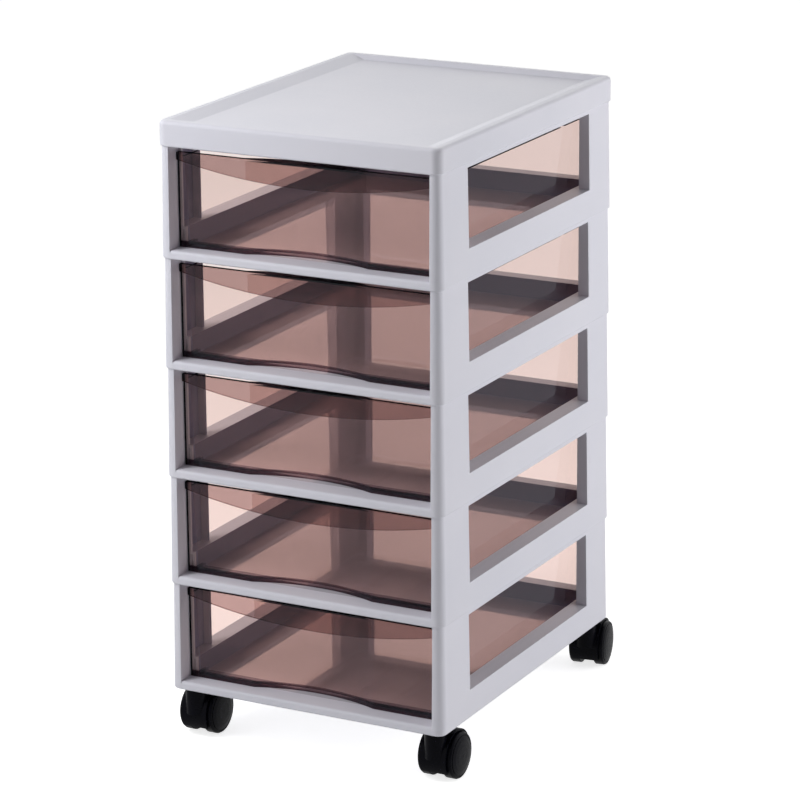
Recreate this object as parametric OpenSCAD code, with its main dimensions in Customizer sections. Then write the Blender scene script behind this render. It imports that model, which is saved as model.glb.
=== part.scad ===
// Storage tower of five stacked plastic tiers with transparent pull-out drawers,
// a tray top and four twin-wheel swivel casters. Millimetres, +Z up, front faces -Y.
// The origin is on the floor, under the middle of the footprint (trailing rear casters included).

/* [Tower] */
// Width across the foot of every tier
body_w = 260; // [220:1:320]
// Depth across the foot of every tier
body_d = 330; // [280:1:400]
// Height of one tier from seam to seam
tier_h = 94.5; // [80:0.5:130]
// Inward lean of the outer walls between foot and top of a tier
draft_in = 1.6; // [0.5:0.1:3]
// Radius of the vertical corners at the foot
corner_r = 8; // [6:0.5:20]
// Thickness of the moulded frame walls
skin = 2.4; // [1.6:0.1:3.5]

/* [Tier frame] */
// Height of the closed band under the side and back windows
band_h = 24.7; // [18:0.1:40]
// Height of the thin rail over the windows
head_h = 3.5; // [3:0.1:10]
// Height of the deck the drawer slides on, level with the front rail
deck_z = 7.6; // [7:0.1:12]
// Thickness of the deck
deck_t = 2.2; // [1.6:0.1:4]
// Width of the front face of each front post
post_w = 10; // [8:0.5:20]
// Distance from the side face to the inner face of the band under the side windows
sill_depth = 16; // [13:0.5:22]
// Distance from the side face to the inner edge of the flanges beside and over the side windows
jamb_depth = 10.5; // [8:0.5:13]
// Distance from the back face to the inner edge of the back flanges
back_depth = 14; // [11:0.5:20]
// Side window, distance from the front face
window_front = 51.7; // [35:0.1:80]
// Side window, distance from the back face
window_rear = 47.6; // [30:0.1:80]
// Back window, distance from either side face
window_side = 21; // [16:0.5:50]
// Height of the nesting lip that locates the tier above
lip_h = 4.4; // [3:0.1:5]

/* [Top] */
// Height of the top from its seam to its rim
cap_h = 21.6; // [16:0.1:40]
// Depth of the tray in the top
tray_depth = 4; // [3:0.5:8]
// Width of the level rim round the tray
rim_w = 8; // [6:0.5:15]
// Width of the slope from the rim down to the tray at the sides and the front
slope_w = 14; // [4:0.5:20]
// Width of the slope from the rim down to the tray at the back
slope_back = 3.5; // [1:0.5:20]
// Radius of the rounded upper edge
rim_round = 3.5; // [1:0.5:6]

/* [Drawer] */
// Setback of the drawer front behind the frame front
front_recess = 15.5; // [8:0.5:25]
// Wall thickness of the drawers
drawer_t = 2.2; // [1.6:0.1:3.5]
// Height of the drawer front above the deck
front_h = 80.4; // [60:0.1:110]
// Height of the side and back walls above the deck
wall_h = 76.4; // [50:0.1:100]
// Outward lean of the side and back walls of the drawers, in degrees
wall_lean = 3.2; // [0.5:0.1:4]
// Radius of the rear corners of the drawers at the floor
drawer_r = 5; // [4:0.5:12]
// Width of the finger scoop in the front
scoop_w = 114; // [80:1:180]
// Depth of the finger scoop at its middle
scoop_depth = 11; // [6:0.5:18]
// Height of the pull visor at its middle
visor_mid = 20; // [14:0.5:30]
// Height of the pull visor at its ends
visor_end = 6.5; // [4:0.5:12]
// How far the visor stands proud of the front
visor_t = 2; // [1.5:0.1:4]
// Distance a drawer can be pulled out before its stop tabs catch
drawer_travel = 250; // [150:1:260]

/* [Casters] */
// Height of the lowest tier above the floor
caster_h = 47; // [40:0.5:60]
// Wheel diameter
wheel_d = 40; // [30:1:50]
// Width of one wheel
wheel_w = 10; // [7:0.5:14]
// Distance between the middles of the two wheels of a caster
wheel_gap = 23; // [18:0.5:30]
// Distance the wheel axle trails behind the swivel axis
trail = 17; // [10:0.5:22]
// Swivel axis, distance in from the side face
stem_side = 15; // [13:0.5:40]
// Swivel axis, distance in from the front or back face
stem_end = 16; // [13:0.5:50]
// Angle by which the rear casters trail inwards
rear_turn = 9; // [0:1:45]
// Diameter of the caster plug in its socket
plug_d = 8; // [6:0.5:11]
// Diameter of the swivel pin below the collar
pin_d = 7; // [5:0.5:10]
// Diameter of the wheel axle
axle_d = 4; // [3:0.5:6]

/* [Hidden] */
$fn = 96;

tiers = 5;
eps = 0.5;                       // overlap used to fuse features of one moulding
seat = 0.3;                      // clearance between pieces that seat or slide
run = 0.05;                      // radial clearance of a turning fit

half_w = body_w / 2;
half_d = body_d / 2;
foot_r = 1.2;                    // softened foot edge
socket_w = half_w - skin;        // inside of the foot, where the lip below nests
socket_d = half_d - skin;
bay_w = half_w - draft_in - skin; // inside of the tier above its deck
bay_d = half_d - draft_in - skin;
lip_t = 2;
open_w = half_w - post_w;        // half width of the front opening
sill_w = half_w - sill_depth;    // half distance between the side bands
flange_w = half_w - jamb_depth;  // half distance between the side flanges
flange_d = half_d - back_depth;  // inner edge of the back flanges
window_z = tier_h - head_h;      // underside of the rail over the windows
y_front = -half_d;
win_y0 = y_front + window_front;
win_y1 = half_d - window_rear;
win_x = half_w - window_side;

front_y = y_front + front_recess;      // plane of the drawer front
stop_y = front_y + drawer_t + seat;    // plane the drawer front closes against
drawer_z = deck_z + seat;              // underside of the drawer
panel_z = deck_z + front_h;
wall_z = deck_z + wall_h;
lean = tan(wall_lean);
flare = (wall_z - drawer_z) * lean;    // how much wider a drawer wall stands at its top
slide_gap = 0.5;                       // side clearance of the drawer between the bands
drawer_w = sill_w - slide_gap - (band_h - drawer_z) * lean;  // half width at the floor
drawer_y1 = flange_d - 2 * slide_gap - flare;                // back of the drawer at the floor
top_w = drawer_w + flare;              // half width at the top of the drawer walls
return_w = top_w + slide_gap;          // half distance between the returns behind the posts
panel_w = open_w - 0.6;                // half width of the drawer front
scoop_r = (pow(scoop_w / 2, 2) + pow(scoop_depth, 2)) / (2 * scoop_depth);
scoop_y = front_y + scoop_depth - scoop_r;
visor_drop = visor_mid - visor_end;
visor_r = (pow(panel_w, 2) + pow(visor_drop, 2)) / (2 * visor_drop);
tab_h = 2.7;                           // how far a stop tab reaches above the seam
tab_w = 6;
rib_t = 1.6;
rib_gap = open_w / 3;                  // spacing of the ribs under the decks and the tray
tab_y = -socket_d + drawer_travel + seat;

wheel_r = wheel_d / 2;
stem_x = half_w - stem_side;
stem_y = half_d - stem_end;
axle_z = wheel_r - caster_h;           // measured from the underside of the tower
hood_in = wheel_r + 0.7;
hood_out = wheel_r + 2.4;
hood_hw = wheel_gap / 2 + 0.5;         // half width of the fender over the wheels
web_hw = wheel_gap / 2 - wheel_w / 2 - 0.5;
collar_t = 1.5;
collar_r = 9;
boss_r = 9;
plug_depth = deck_z - 1.2;
pin_len = 17;
axle_half = wheel_gap / 2 + 2.5;

rear_reach = stem_y + (trail + hood_out) * cos(rear_turn) + hood_hw * sin(rear_turn);
body_y = -(rear_reach - half_d) / 2;   // middle of the tower behind the origin

white = [0.87, 0.87, 0.90];
smoke = [0.42, 0.27, 0.25, 0.55];
black = [0.06, 0.06, 0.08];
steel = [0.62, 0.63, 0.65];

// ---------- shared shapes ----------

// Sweeps a half profile, measured outwards from the corner centres, round a rectangle.
module sweep_rect(cx, cy, h) {
    rotate([90, 0, 0]) linear_extrude(2 * cy, center = true) full_profile(cx, h) children();
    rotate([90, 0, 90]) linear_extrude(2 * cx, center = true) full_profile(cy, h) children();
    for (sx = [-1, 1], sy = [-1, 1])
        translate([sx * cx, sy * cy, 0]) rotate_extrude() children();
}

module full_profile(c, h) {
    translate([-c - eps, 0]) square([2 * (c + eps), h]);
    translate([c, 0]) children();
    mirror([1, 0]) translate([c, 0]) children();
}

// Rounded rectangle given by half width, half depth and corner radius.
module round_rect(hw, hd, r) {
    square([2 * (hw - r), 2 * hd], center = true);
    square([2 * hw, 2 * (hd - r)], center = true);
    for (sx = [-1, 1], sy = [-1, 1])
        translate([sx * (hw - r), sy * (hd - r)]) circle(r);
}

// Box given by its two opposite corners.
module span(a, b) {
    translate(a) cube([b[0] - a[0], b[1] - a[1], b[2] - a[2]]);
}

module both_sides() {
    children();
    mirror([1, 0, 0]) children();
}

// ---------- tier frame ----------

module tier_outer() {
    sweep_rect(half_w - corner_r, half_d - corner_r, tier_h)
        polygon([[0, 0], [corner_r - foot_r, 0], [corner_r - 0.35 * foot_r, 0.35 * foot_r],
                 [corner_r, foot_r], [corner_r - draft_in, tier_h], [0, tier_h]]);
}

// Lip round the top that seats inside the foot of the piece above.
module nesting_lip() {
    lip_w = socket_w - seat;
    lip_d = socket_d - seat;
    r = corner_r - skin - seat;
    translate([0, 0, tier_h - head_h]) linear_extrude(head_h + lip_h)
        difference() {
            round_rect(lip_w, lip_d, r);
            round_rect(lip_w - lip_t, lip_d - lip_t, r - lip_t);
        }
}

// Bands under the side windows that guide the drawer, and the flanges round the windows.
module side_flanges() {
    both_sides() {
        span([sill_w, stop_y, deck_z - eps], [sill_w + skin, half_d - skin, band_h]);
        span([sill_w, stop_y, band_h - skin], [bay_w + eps, half_d - skin, band_h]);
        span([flange_w, stop_y, window_z], [bay_w + eps, half_d - skin, window_z + skin]);
        span([flange_w, win_y0 - skin, band_h - skin], [bay_w + eps, win_y0, tier_h]);
        span([flange_w, win_y1, band_h - skin], [bay_w + eps, win_y1 + skin, tier_h]);
    }
}

// Band under the back window and the flanges round it.
module back_flanges() {
    span([-bay_w, flange_d, deck_z - eps], [bay_w, flange_d + skin, band_h]);
    span([-bay_w, flange_d, band_h - skin], [bay_w, bay_d + eps, band_h]);
    span([-bay_w, flange_d, window_z], [bay_w, bay_d + eps, window_z + skin]);
    both_sides()
        span([win_x, flange_d, band_h - skin], [win_x + skin, bay_d + eps, tier_h]);
}

// The bands are channels, open from below through slots in the deck.
module channel_slots() {
    both_sides()
        span([sill_w + skin, win_y0, deck_z - deck_t - eps], [bay_w, win_y1, deck_z + eps]);
    span([-win_x, flange_d + skin, deck_z - deck_t - eps], [win_x, bay_d, deck_z + eps]);
}

// Inner cheeks of the front posts and the returns the drawer front closes against.
module front_cheeks() {
    both_sides() {
        span([open_w, -bay_d - eps, deck_z - eps], [open_w + skin, stop_y + skin, tier_h]);
        span([return_w, stop_y, deck_z - eps], [bay_w + eps, stop_y + skin, tier_h]);
    }
}

// Ribs of height h whose tops meet a plate at z and whose ends are at y0 and y1.
module ribs(z, h, y0, y1) {
    for (i = [-2 : 2])
        span([i * rib_gap - rib_t / 2, y0, z - h], [i * rib_gap + rib_t / 2, y1, z + eps]);
}

module tier_frame() {
    difference() {
        union() {
            difference() {
                tier_outer();
                translate([0, 0, -1]) linear_extrude(deck_z - deck_t + 1)
                    round_rect(socket_w, socket_d, corner_r - skin);
                translate([0, 0, deck_z]) linear_extrude(tier_h)
                    round_rect(bay_w, bay_d, corner_r - skin - draft_in);
            }
            nesting_lip();
            side_flanges();
            back_flanges();
            front_cheeks();
            ribs(deck_z - deck_t, 3.6, -socket_d - eps, flange_d + skin);
        }
        channel_slots();
        // front opening and the rounded nose of the rail below it
        span([-open_w, y_front - 1, deck_z], [open_w, stop_y, tier_h + lip_h + 1]);
        rotate([90, 0, 90]) linear_extrude(2 * open_w, center = true)
            polygon([[y_front - 1, deck_z - 2.4], [y_front, deck_z - 2.4],
                     [y_front + 0.5, deck_z - 1], [y_front + 1.3, deck_z - 0.3],
                     [y_front + 2.8, deck_z], [y_front + 2.8, deck_z + 1], [y_front - 1, deck_z + 1]]);
        // windows
        both_sides() span([flange_w - 1, win_y0, band_h], [half_w + 1, win_y1, window_z]);
        span([-win_x, flange_d - 1, band_h], [win_x, half_d + 1, window_z]);
    }
}

// Sockets for the caster plugs in the lowest tier.
module caster_bosses() {
    for (sx = [-1, 1], sy = [-1, 1])
        translate([sx * stem_x, sy * stem_y, 0]) cylinder(h = deck_z - eps, r = boss_r);
}

module base_frame() {
    difference() {
        union() {
            tier_frame();
            caster_bosses();
        }
        for (sx = [-1, 1], sy = [-1, 1])
            translate([sx * stem_x, sy * stem_y, -1]) cylinder(h = plug_depth + 1, d = plug_d);
    }
}

// ---------- top ----------

module top_outer() {
    sweep_rect(half_w - corner_r, half_d - corner_r, cap_h) {
        polygon([[0, 0], [corner_r - foot_r, 0], [corner_r - 0.35 * foot_r, 0.35 * foot_r],
                 [corner_r, foot_r], [corner_r, cap_h - rim_round], [0, cap_h - rim_round]]);
        square([corner_r - rim_round, cap_h]);
        translate([corner_r - rim_round, cap_h - rim_round]) circle(rim_round);
    }
}

// Hollow of the tray: level floor, long slopes at the sides and front, a short one at the back.
module tray_hollow() {
    tray_z = cap_h - tray_depth;
    over = 1;
    k = 1 + over / tray_depth;           // carries the slopes on above the rim
    x0 = half_w - rim_w - slope_w;
    y0 = -half_d + rim_w + slope_w;
    y1 = half_d - rim_w - slope_back;
    intersection() {
        rotate([90, 0, 0]) linear_extrude(body_d, center = true)
            polygon([[-x0, tray_z], [x0, tray_z],
                     [x0 + k * slope_w, cap_h + over], [-x0 - k * slope_w, cap_h + over]]);
        rotate([90, 0, 90]) linear_extrude(body_w, center = true)
            polygon([[y0, tray_z], [y1, tray_z],
                     [y1 + k * slope_back, cap_h + over], [y0 - k * slope_w, cap_h + over]]);
    }
}

module top_shell() {
    difference() {
        top_outer();
        tray_hollow();
        // the underside follows the tray one skin lower
        difference() {
            translate([0, 0, -1]) linear_extrude(cap_h - skin + 1)
                round_rect(socket_w, socket_d, corner_r - skin);
            translate([0, 0, -skin]) tray_hollow();
        }
    }
    ribs(cap_h - tray_depth - skin, 5, -socket_d - eps, socket_d + eps);
}

// ---------- drawer ----------

// Body of the drawer behind its front, its walls leaning outwards; t inside it for the hollow.
module drawer_body(t) {
    reach = drawer_y1 - front_y + 2 * drawer_r;  // starts ahead of the front, which is cut flat
    rise = wall_z - drawer_z + t;
    translate([0, drawer_y1 - reach / 2, drawer_z + t])
        sweep_rect(drawer_w - drawer_r, reach / 2 - drawer_r, rise)
            polygon([[0, 0], [drawer_r - t, 0], [drawer_r - t + rise * lean, rise], [0, rise]]);
}

// Plan of the front wall before its scoop is cut: flat flanks and the thickness behind the scoop.
module front_plan() {
    translate([-panel_w, front_y]) square([2 * panel_w, drawer_t]);
    intersection() {
        translate([0, scoop_y]) circle(scoop_r + drawer_t);
        translate([-scoop_w, front_y]) square([2 * scoop_w, 2 * scoop_depth]);
    }
}

// Pull visor: a plate whose lower edge is an arc, closed above the scoop by a ledge.
module pull_visor() {
    intersection() {
        translate([0, front_y + eps, panel_z - visor_mid + visor_r]) rotate([90, 0, 0])
            cylinder(h = visor_t + eps, r = visor_r, $fn = 360);
        span([-panel_w, front_y - visor_t - 1, drawer_z], [panel_w, front_y + 1, panel_z]);
    }
    translate([0, 0, panel_z - drawer_t]) linear_extrude(drawer_t)
        intersection() {
            translate([0, scoop_y]) circle(scoop_r + eps);
            translate([-scoop_w, front_y]) square([2 * scoop_w, 2 * scoop_depth]);
        }
}

module drawer_shell() {
    difference() {
        union() {
            intersection() {
                drawer_body(0);
                span([-half_w, front_y, drawer_z - 1], [half_w, half_d, wall_z + 1]);
            }
            translate([0, 0, drawer_z]) linear_extrude(panel_z - drawer_z) front_plan();
        }
        difference() {
            drawer_body(drawer_t);
            translate([0, 0, drawer_z]) linear_extrude(tier_h) front_plan();
        }
        translate([0, scoop_y, drawer_z - 1]) cylinder(h = tier_h, r = scoop_r, $fn = 360);
    }
    pull_visor();
    // stop tabs on the side walls
    both_sides()
        span([top_w - drawer_t, tab_y, wall_z - 2], [top_w, tab_y + tab_w, tier_h + tab_h]);
}

// ---------- casters, drawn under the swivel axis with the underside of the tower at z = 0 ----------

module stem() {
    cylinder(h = plug_depth, d = plug_d);
    translate([0, 0, -collar_t]) cylinder(h = collar_t, r = collar_r);
    translate([0, 0, -collar_t - pin_len]) cylinder(h = pin_len + eps, d = pin_d);
}

module across(len, r) {
    translate([-len / 2, trail, axle_z]) rotate([0, 90, 0]) cylinder(h = len, r = r);
}

// Lower outline of the hood: low in front, rising towards the back.
module hood_clear() {
    rotate([90, 0, 90]) linear_extrude(4 * hood_hw, center = true)
        polygon([[-hood_out, -caster_h - 5], [-hood_out, axle_z - 11], [trail - 17, axle_z - 11],
                 [trail - 12, axle_z - 9], [trail + 26, axle_z + 3], [trail + 26, -caster_h - 5]]);
}

module hood() {
    top = -collar_t - seat;
    difference() {
        union() {
            // fender over both wheels
            difference() {
                across(2 * hood_hw, hood_out);
                across(2 * hood_hw + 2, hood_in);
            }
            // middle web that carries the axle
            across(2 * web_hw, hood_out - eps);
            // swivel boss in front
            translate([0, 0, axle_z + 2]) cylinder(h = top - axle_z - 2, r = boss_r);
            translate([-web_hw, 0, axle_z + 2]) cube([2 * web_hw, trail, top - axle_z - 4]);
        }
        // room for the wheels beside the web
        both_sides() translate([web_hw, 0, 0]) intersection() {
            translate([0, trail, axle_z]) rotate([0, 90, 0]) cylinder(h = 3 * wheel_w, r = hood_in);
            span([0, -hood_out, -caster_h - 1], [3 * wheel_w, trail + hood_out, 0]);
        }
        hood_clear();
        translate([0, 0, -collar_t - pin_len - seat]) cylinder(h = pin_len + 2, d = pin_d + 2 * run);
        across(2 * hood_hw, axle_d / 2);
    }
}

module axle() {
    across(2 * axle_half, axle_d / 2);
}

// Wheel half section: domed outer face with a rim groove, hollow behind, hub on the axle.
module wheel(side) {
    bore = axle_d / 2 + run;
    translate([0, trail, axle_z]) rotate([0, side * 90, 0])
        translate([0, 0, wheel_gap / 2 - wheel_w / 2])
            rotate_extrude()
                polygon([[bore, 0], [5, 0], [5, 5.5], [wheel_r - 3, 5.5], [wheel_r - 3, 0],
                         [wheel_r - 0.6, 0], [wheel_r, 0.6], [wheel_r, wheel_w - 2.4],
                         [wheel_r - 0.7, wheel_w - 1.1], [wheel_r - 2, wheel_w - 0.6],
                         [wheel_r - 2.2, wheel_w - 1.2], [wheel_r - 2.9, wheel_w - 1.2],
                         [wheel_r - 3.1, wheel_w - 0.4], [wheel_r - 7, wheel_w + 0.5],
                         [wheel_r - 12, wheel_w + 1], [0, wheel_w + 1.2],
                         [0, axle_half - wheel_gap / 2 + wheel_w / 2 + seat],
                         [bore, axle_half - wheel_gap / 2 + wheel_w / 2 + seat]]);
}

// ---------- placement ----------

module at_tier(n) {
    translate([0, body_y, caster_h + (tiers - n) * tier_h]) children();
}

module at_caster(sx, sy) {
    translate([sx * stem_x, body_y + sy * stem_y, caster_h])
        rotate([0, 0, sy > 0 ? sx * rear_turn : 0]) children();
}

module frame_piece(n) { color(white) at_tier(n) tier_frame(); }
module drawer_piece(n) { color(smoke) at_tier(n) drawer_shell(); }
module stem_piece(sx, sy) { color(steel) at_caster(sx, sy) stem(); }
module hood_piece(sx, sy) { color(black) at_caster(sx, sy) hood(); }
module axle_piece(sx, sy) { color(steel) at_caster(sx, sy) axle(); }
module wheel_piece(sx, sy, side) { color(black) at_caster(sx, sy) wheel(side); }

module top_panel() { color(white) at_tier(0) top_shell(); }
module tier_frame_1() { frame_piece(1); }
module tier_frame_2() { frame_piece(2); }
module tier_frame_3() { frame_piece(3); }
module tier_frame_4() { frame_piece(4); }
module tier_frame_5() { color(white) at_tier(5) base_frame(); }
module drawer_1() { drawer_piece(1); }
module drawer_2() { drawer_piece(2); }
module drawer_3() { drawer_piece(3); }
module drawer_4() { drawer_piece(4); }
module drawer_5() { drawer_piece(5); }
module stem_fl() { stem_piece(-1, -1); }
module hood_fl() { hood_piece(-1, -1); }
module axle_fl() { axle_piece(-1, -1); }
module wheel_fl_left() { wheel_piece(-1, -1, -1); }
module wheel_fl_right() { wheel_piece(-1, -1, 1); }
module stem_fr() { stem_piece(1, -1); }
module hood_fr() { hood_piece(1, -1); }
module axle_fr() { axle_piece(1, -1); }
module wheel_fr_left() { wheel_piece(1, -1, -1); }
module wheel_fr_right() { wheel_piece(1, -1, 1); }
module stem_rl() { stem_piece(-1, 1); }
module hood_rl() { hood_piece(-1, 1); }
module axle_rl() { axle_piece(-1, 1); }
module wheel_rl_left() { wheel_piece(-1, 1, -1); }
module wheel_rl_right() { wheel_piece(-1, 1, 1); }
module stem_rr() { stem_piece(1, 1); }
module hood_rr() { hood_piece(1, 1); }
module axle_rr() { axle_piece(1, 1); }
module wheel_rr_left() { wheel_piece(1, 1, -1); }
module wheel_rr_right() { wheel_piece(1, 1, 1); }

top_panel();
tier_frame_1();
tier_frame_2();
tier_frame_3();
tier_frame_4();
tier_frame_5();
drawer_1();
drawer_2();
drawer_3();
drawer_4();
drawer_5();
stem_fl();
hood_fl();
axle_fl();
wheel_fl_left();
wheel_fl_right();
stem_fr();
hood_fr();
axle_fr();
wheel_fr_left();
wheel_fr_right();
stem_rl();
hood_rl();
axle_rl();
wheel_rl_left();
wheel_rl_right();
stem_rr();
hood_rr();
axle_rr();
wheel_rr_left();
wheel_rr_right();
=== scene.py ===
import math

import bpy
from mathutils import Matrix, Vector

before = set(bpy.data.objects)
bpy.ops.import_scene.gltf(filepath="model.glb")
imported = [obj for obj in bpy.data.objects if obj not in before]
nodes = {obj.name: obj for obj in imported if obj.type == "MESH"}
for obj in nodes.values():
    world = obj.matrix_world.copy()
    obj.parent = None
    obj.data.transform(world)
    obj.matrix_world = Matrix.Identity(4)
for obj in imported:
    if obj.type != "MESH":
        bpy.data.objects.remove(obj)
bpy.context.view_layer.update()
scene = bpy.context.scene

# Places on the tiers and drawers, from the part's own sizes, in metres.
TIER_Z, TIER_H = 0.047, 0.0945       # underside of the lowest tier, height of a tier
FRONT_Y = -0.161896                  # plane of the drawer fronts
PANEL_W = 0.1194                     # half width of a drawer front
DRAWER_T, SCOOP = 0.0022, 0.011      # wall thickness, depth of the finger scoop
WALL_TOP, FLOOR_TOP = 0.084, 0.0101  # heights above the tier's underside
DECK_TOP = 0.0076                    # height of the deck above the tier's underside
MIDDLE_Y = -0.012396                 # middle of the tower, front to back
SLACK = 0.0003                       # tolerance on a face's place


# ---------- node helpers ----------

def srgb(r, g, b):
    """Linear colour of an 8-bit sRGB colour."""
    def lin(c):
        c /= 255
        return c / 12.92 if c <= 0.04045 else ((c + 0.055) / 1.055) ** 2.4
    return (lin(r), lin(g), lin(b), 1.0)


class Tree:
    """Short calls for building the node tree of a material or of the world."""

    def __init__(self, owner, output):
        owner.use_nodes = True
        self.tree = owner.node_tree
        self.tree.nodes.clear()
        self.out = self.add(output)

    def add(self, kind, **values):
        node = self.tree.nodes.new(kind)
        for key, value in values.items():
            setattr(node, key, value)
        return node

    def link(self, source, target):
        self.tree.links.new(source, target)

    def feed(self, value, target):
        """Links a socket, or sets a plain value."""
        if isinstance(value, bpy.types.NodeSocket):
            self.link(value, target)
        else:
            target.default_value = value

    def set(self, node, **values):
        """Plain values of a node's inputs, with _ for a space in their names."""
        for key, value in values.items():
            node.inputs[key.replace("_", " ")].default_value = value

    # ----- places and directions -----

    def split(self, vector):
        parts = self.add("ShaderNodeSeparateXYZ")
        self.link(vector, parts.inputs["Vector"])
        return [parts.outputs[k] for k in "XYZ"]

    def position(self):
        """X, Y and Z in the object's own space."""
        return self.split(self.add("ShaderNodeTexCoord").outputs["Object"])

    def normal(self):
        return self.split(self.add("ShaderNodeNewGeometry").outputs["Normal"])

    def tier_level(self, z):
        """Height above the underside of the tier."""
        return self.math("FLOORED_MODULO", self.math("SUBTRACT", z, TIER_Z), TIER_H)

    # ----- arithmetic; a mask is 0 or 1 -----

    def math(self, operation, a, b=0.0, clamp=False):
        node = self.add("ShaderNodeMath", operation=operation, use_clamp=clamp)
        self.feed(a, node.inputs[0])
        self.feed(b, node.inputs[1])
        return node.outputs[0]

    def below(self, a, limit):
        return self.math("LESS_THAN", a, limit)

    def above(self, a, limit):
        return self.math("GREATER_THAN", a, limit)

    def both(self, a, b):
        return self.math("MULTIPLY", a, b)

    def either(self, a, b):
        return self.math("MAXIMUM", a, b)

    def size(self, a):
        return self.math("ABSOLUTE", a)

    def dim(self, value, mask, amount):
        """The value, less the given share of it where the mask is 1."""
        kept = self.math("SUBTRACT", 1.0, self.math("MULTIPLY", mask, amount))
        return self.math("MULTIPLY", value, kept)

    def map_range(self, source, from_min, from_max, to_min, to_max):
        node = self.add("ShaderNodeMapRange")
        self.set(node, From_Min=from_min, From_Max=from_max, To_Min=to_min, To_Max=to_max)
        self.link(source, node.inputs["Value"])
        return node.outputs["Result"]

    def mix_float(self, factor, a, b):
        node = self.add("ShaderNodeMix", data_type="FLOAT")
        self.link(factor, node.inputs["Factor"])
        self.feed(a, node.inputs[2])
        self.feed(b, node.inputs[3])
        return node.outputs[0]

    def mix_colour(self, factor, a, b):
        node = self.add("ShaderNodeMix", data_type="RGBA")
        colours = [i for i in node.inputs if i.type == "RGBA"]
        self.feed(a, colours[0])
        self.feed(b, colours[1])
        self.link(factor, node.inputs["Factor"])
        return next(o for o in node.outputs if o.type == "RGBA")

    # ----- surface detail -----

    def noise(self, scale, detail, rough=0.5):
        node = self.add("ShaderNodeTexNoise")
        self.set(node, Scale=scale, Detail=detail, Roughness=rough)
        self.link(self.add("ShaderNodeTexCoord").outputs["Object"], node.inputs["Vector"])
        return node.outputs["Fac"]

    def mottle(self, scale, detail, low, high):
        """Noise whose middle range, 0.3 to 0.7, is stretched to low..high."""
        return self.map_range(self.noise(scale, detail), 0.3, 0.7, low, high)

    def bump(self, height, strength, distance, normal=None):
        node = self.add("ShaderNodeBump")
        self.set(node, Strength=strength, Distance=distance)
        self.link(height, node.inputs["Height"])
        if normal is not None:
            self.link(normal, node.inputs["Normal"])
        return node.outputs["Normal"]

    def soft_edges(self, radius):
        node = self.add("ShaderNodeBevel", samples=6)
        self.set(node, Radius=radius)
        return node.outputs["Normal"]


def new_material(name):
    material = bpy.data.materials.new(name)
    return material, Tree(material, "ShaderNodeOutputMaterial")


# ---------- materials ----------

PALE = srgb(216, 216, 226), srgb(221, 220, 229)         # outer faces of the frame, mottled
INNER_PAINTED_SHADE = srgb(140, 143, 168)                        # painted shade on its faces that look inwards
CASTER_BLACK = srgb(4, 4, 10), srgb(8, 8, 17)
STEEL_GREY = srgb(165, 166, 170), srgb(188, 189, 192)

# What one face of the smoke plastic lets through.
CLEAR, CLEAR_STEEP = (0.935, 0.882, 0.865, 1), (0.88, 0.785, 0.755, 1)
VISOR = (0.52, 0.385, 0.372, 1)
# Painted shade: the skirt is tinted darker for the shadowed gap under the drawer's floor.
SKIRT_PAINTED_SHADE = (0.42, 0.33, 0.36, 1)
# Painted shade: the cut edges are nearly black, for the shadow gap under the frame above and
# beside them.
CUT_EDGE_PAINTED_SHADE = (0.02, 0.012, 0.014, 1)
SHINE = (0.84, 0.87, 1.0, 1)


def frame_plastic():
    """Satin pale plastic with polished decks under the drawers, and painted shade on the faces
    that look inwards.
    """
    material, t = new_material("frame_plastic")
    p = t.add("ShaderNodeBsdfPrincipled")
    x, y, z = t.position()
    nx, ny, nz = t.normal()
    behind_front = t.above(y, FRONT_Y + 2 * DRAWER_T)

    off_deck = t.size(t.math("SUBTRACT", t.tier_level(z), DECK_TOP))
    deck = t.both(t.both(t.below(off_deck, SLACK), t.above(nz, 0.9)), behind_front)
    t.link(deck, p.inputs["Coat Weight"])

    across = t.math("MULTIPLY", x, nx)
    along = t.math("MULTIPLY", t.math("SUBTRACT", y, MIDDLE_Y), ny)
    inward = t.either(t.below(across, -0.03), t.below(along, -0.14))
    # Painted shade: faces that look into the tower get a darker grey in place of the pale colour.
    painted_shade_inside = t.both(t.both(inward, t.below(t.size(nz), 0.5)), behind_front)
    pale = t.mix_colour(t.mottle(9, 4, 0, 1), *PALE)
    t.link(t.mix_colour(painted_shade_inside, pale, INNER_PAINTED_SHADE), p.inputs["Base Color"])

    t.link(t.mottle(500, 2, 0.36, 0.46), p.inputs["Roughness"])
    grain = t.bump(t.noise(1400, 2, 0.6), 0.12, 0.00006, t.soft_edges(0.0006))
    t.link(t.bump(t.noise(14, 1), 0.25, 0.0004, grain), p.inputs["Normal"])
    t.set(p, IOR=1.49, Coat_IOR=3.2, Coat_Roughness=0.03)
    t.link(p.outputs["BSDF"], t.out.inputs["Surface"])
    return material


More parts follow.
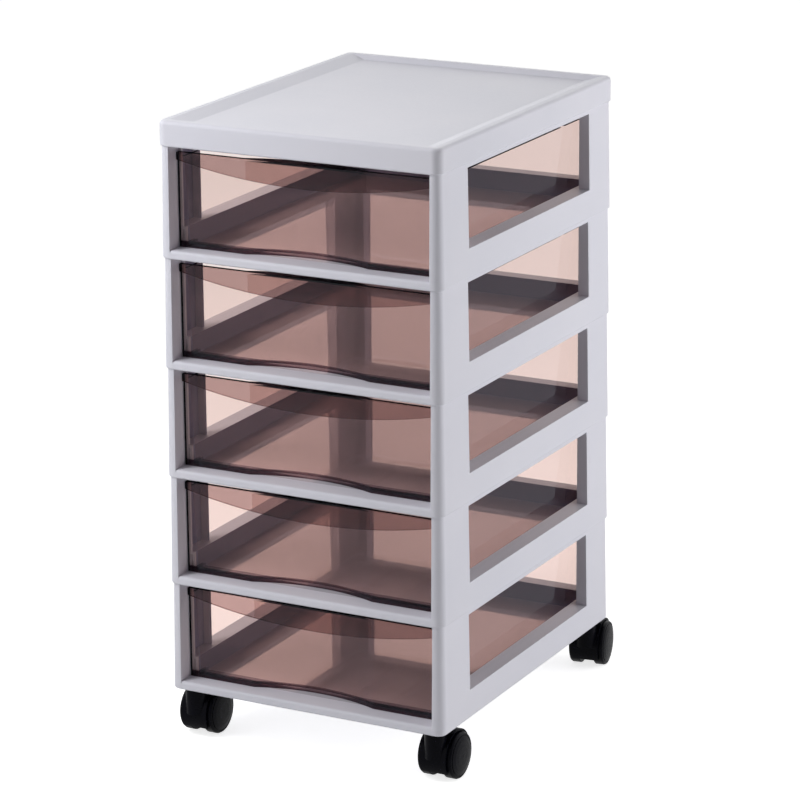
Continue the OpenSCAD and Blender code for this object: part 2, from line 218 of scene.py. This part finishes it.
def smoke_plastic():
    """Clear smoke-brown sheet: darker in the visor, with painted shade on the skirt under the
    floor and on the cut edges, which are nearly black.
    """
    material, t = new_material("smoke_plastic")
    x, y, z = t.position()
    nz = t.normal()[2]
    level = t.tier_level(z)

    flat_up = t.above(nz, 0.6)
    top_edge = t.both(flat_up, t.above(level, WALL_TOP - SLACK))
    end_edge = t.both(t.below(y, FRONT_Y + DRAWER_T + SLACK),
                      t.above(t.size(x), PANEL_W - 0.0002))
    # Painted shade: the top and end edges of the walls are tinted nearly black.
    shaded_cut_edge = t.either(top_edge, end_edge)
    visor = t.below(y, FRONT_Y - 0.0004)
    in_front = t.below(y, FRONT_Y + SCOOP + DRAWER_T + 0.0005)
    # Painted shade: the skirt below the drawer's floor, where the gap under it lies in shadow.
    painted_shade_skirt = t.both(in_front, t.below(level, DECK_TOP + 0.005))
    floor = t.both(flat_up, t.below(level, FLOOR_TOP + 0.0005))

    facing = t.add("ShaderNodeLayerWeight")
    t.set(facing, Blend=0.5)
    tint = t.mix_colour(t.math("POWER", facing.outputs["Facing"], 3.0), CLEAR, CLEAR_STEEP)
    for mask, colour in ((visor, VISOR), (painted_shade_skirt, SKIRT_PAINTED_SHADE), (shaded_cut_edge, CUT_EDGE_PAINTED_SHADE)):
        tint = t.mix_colour(mask, tint, colour)
    clear = t.add("ShaderNodeBsdfTransparent")
    t.link(tint, clear.inputs["Color"])

    shine = t.add("ShaderNodeBsdfGlossy")
    t.set(shine, Color=SHINE)
    t.link(t.mottle(60, 3, 0.01, 0.04), shine.inputs["Roughness"])
    t.link(t.bump(t.noise(16, 1), 0.2, 0.0006), shine.inputs["Normal"])

    # The shine is on outer faces only, and weaker on cut edges and on the floor of the drawer.
    fresnel = t.add("ShaderNodeFresnel")
    t.set(fresnel, IOR=1.58)
    backfacing = t.add("ShaderNodeNewGeometry").outputs["Backfacing"]
    share = t.math("MULTIPLY", fresnel.outputs["Fac"], 0.6, clamp=True)
    share = t.both(share, t.math("SUBTRACT", 1.0, backfacing))
    share = t.dim(t.dim(share, shaded_cut_edge, 0.85), floor, 0.6)
    mix = t.add("ShaderNodeMixShader")
    t.link(share, mix.inputs["Fac"])
    t.link(clear.outputs["BSDF"], mix.inputs[1])
    t.link(shine.outputs["BSDF"], mix.inputs[2])
    t.link(mix.outputs["Shader"], t.out.inputs["Surface"])
    return material


def caster_plastic():
    """Black plastic with a fine grain and softened edges."""
    material, t = new_material("caster_black")
    p = t.add("ShaderNodeBsdfPrincipled")
    t.link(t.mix_colour(t.mottle(30, 4, 0, 1), *CASTER_BLACK), p.inputs["Base Color"])
    t.link(t.mottle(300, 3, 0.24, 0.38), p.inputs["Roughness"])
    t.link(t.bump(t.noise(1800, 2, 0.6), 0.15, 0.00005, t.soft_edges(0.0005)),
           p.inputs["Normal"])
    t.set(p, IOR=1.5, Specular_IOR_Level=0.08)
    t.link(p.outputs["BSDF"], t.out.inputs["Surface"])
    return material


def steel():
    """Drawn steel of the caster stems and axles."""
    material, t = new_material("caster_steel")
    p = t.add("ShaderNodeBsdfPrincipled")
    t.link(t.mix_colour(t.mottle(80, 4, 0, 1), *STEEL_GREY), p.inputs["Base Color"])
    t.link(t.mottle(700, 3, 0.22, 0.38), p.inputs["Roughness"])
    t.set(p, Metallic=1.0)
    t.link(p.outputs["BSDF"], t.out.inputs["Surface"])
    return material


caster_black = caster_plastic()
caster_steel = steel()
MATERIALS = {"tier_frame": frame_plastic(), "drawer": smoke_plastic(),
             "hood": caster_black, "wheel": caster_black,
             "stem": caster_steel, "axle": caster_steel}
MATERIALS["top_panel"] = MATERIALS["tier_frame"]

for name, node in nodes.items():
    kind = next(k for k in MATERIALS if name.startswith(k))
    node.data.materials.clear()
    node.data.materials.append(MATERIALS[kind])


# ---------- floor, world, lamps ----------

FLOOR_HALF = 6.0
FLOOR_GLOW = 0.75                     # lifts the lit floor to white for the camera
FLOOR_MIRRORED = 0.6                  # the floor's level in mirror images
WORLD_FRONT = (0.60, -0.80, 0.0)      # the direction the world is darkest in
WORLD_RAMP = (-0.5, 0.9, 0.416, 0.08)  # from and to along it, light behind and in front
GLOSS_LEVEL = 1.44 / WORLD_RAMP[2]    # how much lighter the world is in mirror images

# Name, place, aim, width and height in metres, watts.
LAMPS = (
    ("key_left", (-0.54, -0.76, 0.80), (0, -0.1, 0.42), (0.35, 1.15), 3.6),
    ("key_high", (-0.58, -0.72, 1.20), (0, -0.15, 0.25), (0.5, 0.5), 5.3),
    ("fill_right", (1.4, 0.60, 0.40), (0, 0, 0.3), (1.2, 1.2), 16.5),
)


def white_floor():
    """Matt floor that is white for the camera, a plain pale level in gloss, and keeps shadows."""
    material, t = new_material("floor_white")
    diffuse = t.add("ShaderNodeBsdfDiffuse")
    t.set(diffuse, Color=(0.88, 0.88, 0.88, 1))
    path = t.add("ShaderNodeLightPath")
    glow = t.add("ShaderNodeEmission")
    t.link(t.math("MULTIPLY", path.outputs["Is Camera Ray"], FLOOR_GLOW), glow.inputs["Strength"])
    lit = t.add("ShaderNodeAddShader")
    t.link(diffuse.outputs["BSDF"], lit.inputs[0])
    t.link(glow.outputs["Emission"], lit.inputs[1])
    mirrored = t.add("ShaderNodeEmission")
    t.set(mirrored, Strength=FLOOR_MIRRORED)
    pick = t.add("ShaderNodeMixShader")
    t.link(path.outputs["Is Glossy Ray"], pick.inputs["Fac"])
    t.link(lit.outputs["Shader"], pick.inputs[1])
    t.link(mirrored.outputs["Emission"], pick.inputs[2])
    t.link(pick.outputs["Shader"], t.out.inputs["Surface"])

    s = FLOOR_HALF
    mesh = bpy.data.meshes.new("floor")
    mesh.from_pydata([(-s, -s, 0), (s, -s, 0), (s, s, 0), (-s, s, 0)], [], [(0, 1, 2, 3)])
    mesh.materials.append(material)
    floor = bpy.data.objects.new("floor", mesh)
    scene.collection.objects.link(floor)


def white_world():
    """Soft light from all round, weakest from in front, and plain white for the camera."""
    world = bpy.data.worlds.new("studio")
    scene.world = world
    t = Tree(world, "ShaderNodeOutputWorld")
    toward = t.add("ShaderNodeVectorMath", operation="DOT_PRODUCT")
    t.link(t.add("ShaderNodeTexCoord").outputs["Generated"], toward.inputs[0])
    toward.inputs[1].default_value = WORLD_FRONT
    level = t.map_range(toward.outputs["Value"], *WORLD_RAMP)
    path = t.add("ShaderNodeLightPath")
    level = t.mix_float(path.outputs["Is Glossy Ray"], level,
                        t.math("MULTIPLY", level, GLOSS_LEVEL))
    shown = t.either(path.outputs["Is Camera Ray"], path.outputs["Is Transmission Ray"])
    light = t.add("ShaderNodeBackground")
    t.set(light, Color=(1, 1, 1, 1))
    t.link(t.mix_float(shown, level, 1.0), light.inputs["Strength"])
    t.link(light.outputs["Background"], t.out.inputs["Surface"])


def area_lamp(name, place, aim, size, watts):
    data = bpy.data.lights.new(name, "AREA")
    data.shape, data.energy = "RECTANGLE", watts
    data.size, data.size_y = size
    lamp = bpy.data.objects.new(name, data)
    scene.collection.objects.link(lamp)
    lamp.location = place
    lamp.visible_glossy = False
    lamp.rotation_mode = "QUATERNION"
    lamp.rotation_quaternion = (Vector(aim) - Vector(place)).to_track_quat("-Z", "Y")


white_floor()
white_world()
for lamp_values in LAMPS:
    area_lamp(*lamp_values)


# ---------- camera ----------

# Where the camera looks from and to, in degrees and metres.
AZIMUTH, ELEVATION, ROLL = (math.radians(a) for a in (27.77, 16.39, -0.47))
TARGET = Vector((0.00615, -0.0124, 0.27724))
DISTANCE = 3.0579
FOCAL_PX, FRAME_PX = 3563, 800       # focal length and frame width in pixels
SENSOR = 36.0                        # sensor width in millimetres

back = Vector((math.sin(AZIMUTH) * math.cos(ELEVATION), -math.cos(AZIMUTH) * math.cos(ELEVATION),
               math.sin(ELEVATION)))
right = Vector((math.cos(AZIMUTH), math.sin(AZIMUTH), 0))
up = back.cross(right)
tilted_right = math.cos(ROLL) * right + math.sin(ROLL) * up
tilted_up = -math.sin(ROLL) * right + math.cos(ROLL) * up
lens = bpy.data.cameras.new("camera")
lens.sensor_width, lens.lens = SENSOR, SENSOR * FOCAL_PX / FRAME_PX
camera = bpy.data.objects.new("camera", lens)
scene.collection.objects.link(camera)
camera.rotation_mode = "QUATERNION"
camera.location = TARGET + back * DISTANCE
camera.rotation_quaternion = Matrix((tilted_right, tilted_up, back)).transposed().to_quaternion()
scene.camera = camera
scene.view_settings.view_transform = "Standard"
scene.cycles.transparent_max_bounces = 24
scene.cycles.diffuse_bounces = 6
